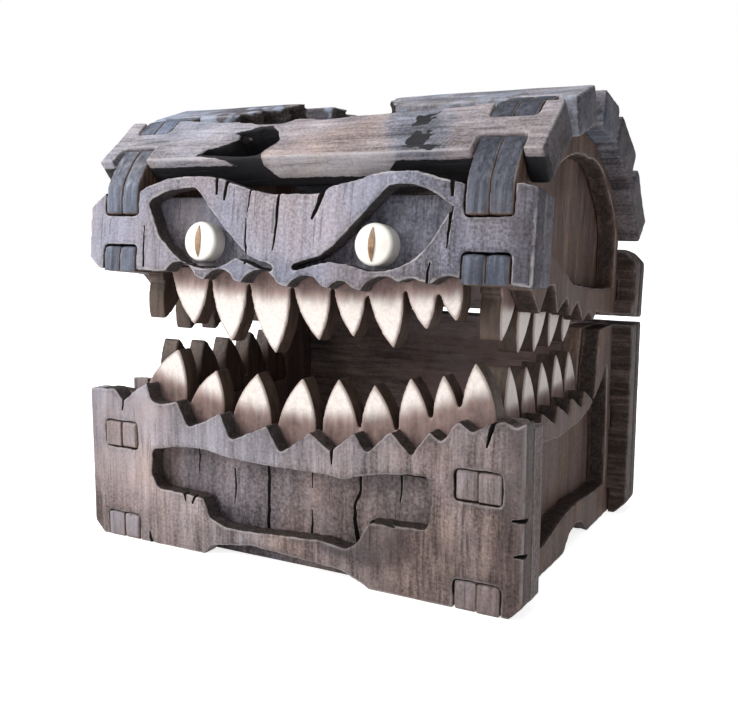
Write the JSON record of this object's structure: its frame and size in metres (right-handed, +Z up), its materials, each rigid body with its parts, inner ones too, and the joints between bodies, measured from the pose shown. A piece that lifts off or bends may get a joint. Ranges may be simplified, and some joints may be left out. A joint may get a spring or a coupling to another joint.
{
  "type": "dice storage chest",
  "caption": "Small wooden dice chest with a hinged barrel lid standing ajar, carved rows of pointed teeth round its mouth and round button eyes with slit pupils on the lid front.",
  "frame": {"origin": "on the table plane, under the middle of the whole chest's bounding box", "axes": "+X to the chest's left hand as seen from behind (right as seen from the front), +Y towards the hinged back, +Z up; the toothed front with the eyes faces -Y"},
  "size_m": [0.114, 0.0921, 0.1076],
  "materials": {
    "wood_box": "satin",
    "wood_lid": "satin",
    "wood_stave": "satin",
    "wood_dark": "matte",
    "tooth": "satin",
    "eye": "gloss",
    "pupil": "gloss",
    "hinge": "satin"
  },
  "bodies": {
    "box": {"box_front_outer": "wood_box", "box_front_inner": "wood_box", "lower_front_teeth": "tooth", "box_side_outer_left": "wood_box", "box_side_inner_left": "wood_dark", "lower_side_teeth_left": "tooth", "box_side_outer_right": "wood_box", "box_side_inner_right": "wood_dark", "lower_side_teeth_right": "tooth", "box_back_outer": "wood_box", "box_back_inner": "wood_dark", "box_floor": "wood_dark", "hinge_box_leaf_left": "hinge", "hinge_box_leaf_right": "hinge", "hinge_pin_left": "hinge", "hinge_pin_right": "hinge", "hinge_screws_box": "hinge"},
    "lid": {"lid_front_outer": "wood_lid", "lid_front_inner": "wood_dark", "upper_front_teeth": "tooth", "lid_side_outer_left": "wood_lid", "lid_side_inner_left": "wood_dark", "upper_side_teeth_left": "tooth", "lid_side_outer_right": "wood_lid", "lid_side_inner_right": "wood_dark", "upper_side_teeth_right": "tooth", "lid_back_outer": "wood_lid", "lid_back_inner": "wood_dark", "stave_1": "wood_stave", "stave_2_left": "wood_stave", "stave_2_right": "wood_stave", "stave_3_left": "wood_stave", "stave_3_right": "wood_stave", "stave_4": "wood_stave", "stave_5": "wood_stave", "eyeball_left": "eye", "eyeball_right": "eye", "pupil_left": "pupil", "pupil_right": "pupil", "hinge_lid_leaf_left": "hinge", "hinge_lid_leaf_right": "hinge", "hinge_screws_lid": "hinge"}
  },
  "joints": [
    {"name": "lid_hinge", "type": "hinge", "parent": "box", "child": "lid", "pos_m": [0, 0.04455, 0.0516], "axis": [-1, 0, 0], "range_deg": [-6.3, 90]}
  ]
}
